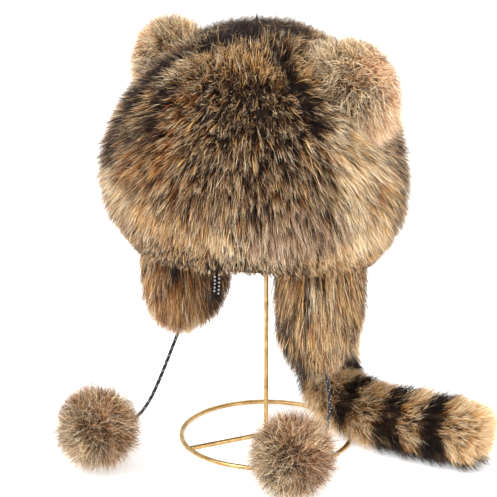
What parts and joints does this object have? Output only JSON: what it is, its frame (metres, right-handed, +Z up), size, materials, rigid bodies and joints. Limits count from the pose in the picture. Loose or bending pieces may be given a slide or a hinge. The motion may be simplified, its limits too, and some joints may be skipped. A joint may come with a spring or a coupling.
{
  "type": "plush animal hat on a wire hat stand",
  "caption": "Raccoon fur hat with round ears, ear flaps, tie cords with pompoms and a ringed tail, held up on a plain brass wire hat stand.",
  "frame": {"origin": "middle of the stand's base, on the surface that it stands on", "axes": "+Z up, the wearer looks along -Y, the wearer's left is +X"},
  "size_m": [0.3332, 0.3131, 0.37],
  "materials": {
    "leather": "dark brown suede side of the pelt",
    "crown_fur": "long fur, dark brown underfur with tan and cream bands and black tips",
    "ear_fur": "cream and tan fur with a dark middle",
    "flap_fur": "golden brown fur with black guard hairs",
    "tail_fur": "golden fur with dark rings",
    "pompom_fur": "brown fur with cream tips and a dark middle",
    "cord": "black round cord with silvery specks",
    "brass": "satin brass-coloured wire"
  },
  "bodies": {
    "root": {"crown_shell": "leather", "crown_fur": "crown_fur", "ear_left": "ear_fur", "ear_right": "ear_fur", "flap_left": "flap_fur", "flap_right": "flap_fur", "tail": "tail_fur", "pompom_left": "pompom_fur", "pompom_right": "pompom_fur", "cord_left": "cord", "cord_right": "cord", "stand": "brass"}
  },
  "joints": []
}
